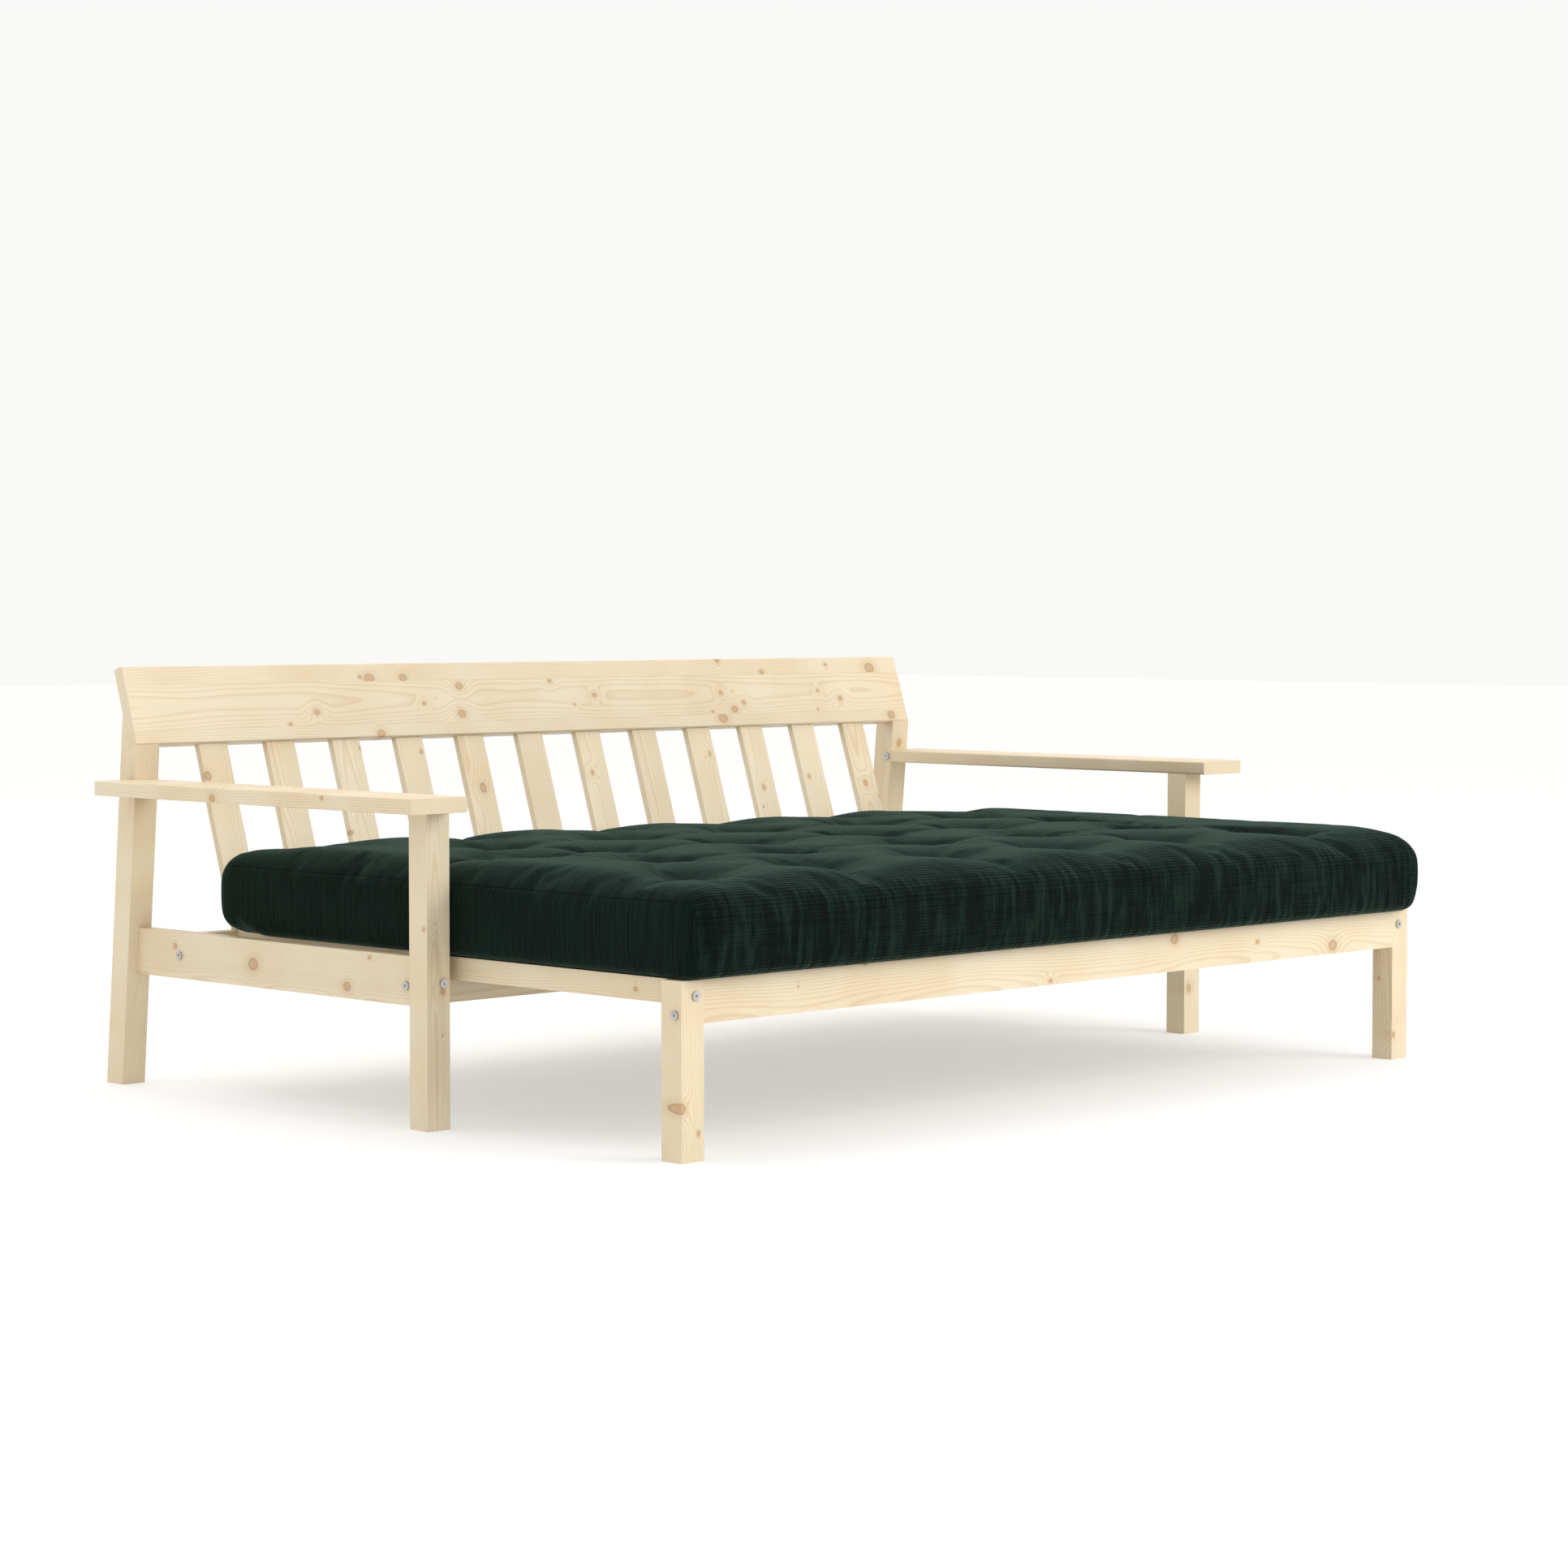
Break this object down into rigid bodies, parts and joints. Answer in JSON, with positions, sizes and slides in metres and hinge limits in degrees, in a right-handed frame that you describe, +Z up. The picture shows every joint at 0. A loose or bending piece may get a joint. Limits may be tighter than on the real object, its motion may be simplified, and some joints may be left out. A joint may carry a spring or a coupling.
{
  "type": "futon sofa bed",
  "caption": "Slatted wooden sofa with flat arms whose seat frame pulls out on two legs to make a bed, with one futon mattress that folds up as the backrest.",
  "frame": {"origin": "middle of the object's base, pulled out, on the floor", "axes": "+X to the right as seen from the front, +Y towards the back, +Z up"},
  "size_m": [2.148, 1.4622, 0.7486],
  "materials": {
    "pine": "clear satin lacquer",
    "beech": "bare",
    "zinc_steel": "bright zinc plate",
    "corduroy": "dark green corduroy"
  },
  "bodies": {
    "frame": {"left_arm_post": "pine", "right_arm_post": "pine", "left_rear_leg": "pine", "right_rear_leg": "pine", "left_side_rail": "pine", "right_side_rail": "pine", "left_armrest": "pine", "right_armrest": "pine", "back_plank": "pine", "rear_cross_rail": "pine", "front_cross_rail": "pine", "rear_slat_ledger": "pine", "fixed_seat_slats": "pine", "back_slat_1": "pine", "back_slat_2": "pine", "back_slat_3": "pine", "back_slat_4": "pine", "back_slat_5": "pine", "back_slat_6": "pine", "back_slat_7": "pine", "back_slat_8": "pine", "back_slat_9": "pine", "back_slat_10": "pine", "back_slat_11": "pine", "back_slat_12": "pine", "back_slat_dowels": "beech", "armrest_dowels": "beech", "frame_bolts": "zinc_steel", "frame_barrel_nuts": "zinc_steel", "frame_wood_screws": "zinc_steel"},
    "pullout": {"left_pullout_leg": "pine", "right_pullout_leg": "pine", "pullout_front_rail": "pine", "pullout_slat_ledger": "pine", "left_pullout_side_rail": "pine", "right_pullout_side_rail": "pine", "pullout_rear_bar": "pine", "pullout_slat_1": "pine", "pullout_slat_2": "pine", "pullout_slat_3": "pine", "pullout_slat_4": "pine", "pullout_slat_5": "pine", "pullout_slat_6": "pine", "pullout_slat_7": "pine", "pullout_slat_8": "pine", "pullout_slat_9": "pine", "pullout_slat_10": "pine", "pullout_slat_11": "pine", "pullout_bolts": "zinc_steel", "pullout_barrel_nuts": "zinc_steel", "pullout_wood_screws": "zinc_steel", "mattress_seat": "corduroy"},
    "futon_back": {"mattress_fold": "corduroy", "mattress_back": "corduroy"}
  },
  "joints": [
    {"name": "pullout_slide", "type": "slide", "parent": "frame", "child": "pullout", "axis": [0, 1, 0], "range_m": [0, 0.543]},
    {"name": "futon_fold", "type": "hinge", "parent": "pullout", "child": "futon_back", "pos_m": [0, -0.03209, 0.2822], "axis": [1, 0, 0], "range_deg": [0, 75.01], "deforming": ["mattress_fold"]}
  ],
  "couplings": [
    {"joint": "futon_fold", "follows": "pullout_slide", "rad_per_m": 2.4107}
  ]
}
